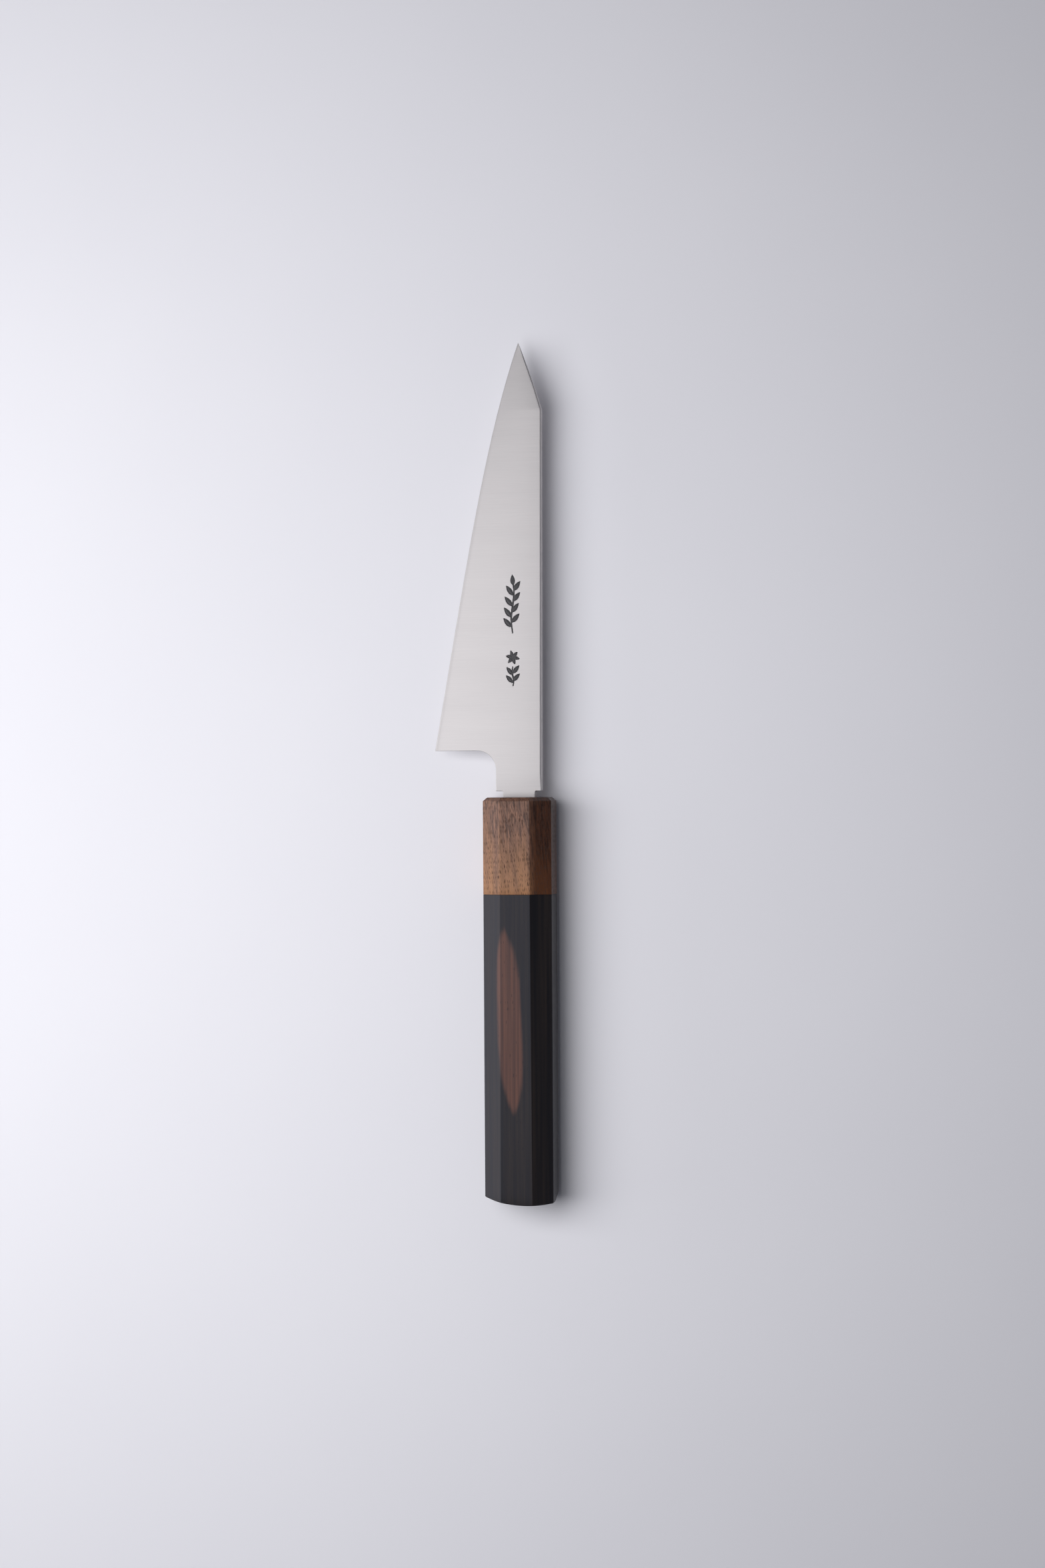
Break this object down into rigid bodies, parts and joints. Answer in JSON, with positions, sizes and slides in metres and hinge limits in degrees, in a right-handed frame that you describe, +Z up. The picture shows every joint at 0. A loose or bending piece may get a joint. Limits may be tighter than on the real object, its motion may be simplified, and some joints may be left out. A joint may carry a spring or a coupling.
{
  "type": "boning knife",
  "caption": "Japanese-style boning knife with a triangular K-tip blade, a hidden tang and an octagonal wooden handle with a lighter wood ferrule.",
  "frame": {"origin": "on the handle body's lower broad facet, below the handle's axis, 55 mm behind the joint of ferrule and handle body; the knife lies on this facet", "axes": "+X along the knife from the butt to the tip, +Y from the spine to the cutting edge, +Z up, square to the blade's side"},
  "size_m": [0.3097, 0.0434, 0.02],
  "materials": {
    "blade_steel": "satin, fine grinding lines across the blade",
    "walnut": "oiled, open dark pores along the grain",
    "ebony": "polished, one reddish-brown streak",
    "dowel_wood": "plain turned hardwood",
    "resin": "cured resin"
  },
  "bodies": {
    "root": {"blade": "blade_steel", "ferrule": "walnut", "handle_body": "ebony", "dowel": "dowel_wood", "tang_resin": "resin"}
  },
  "joints": []
}
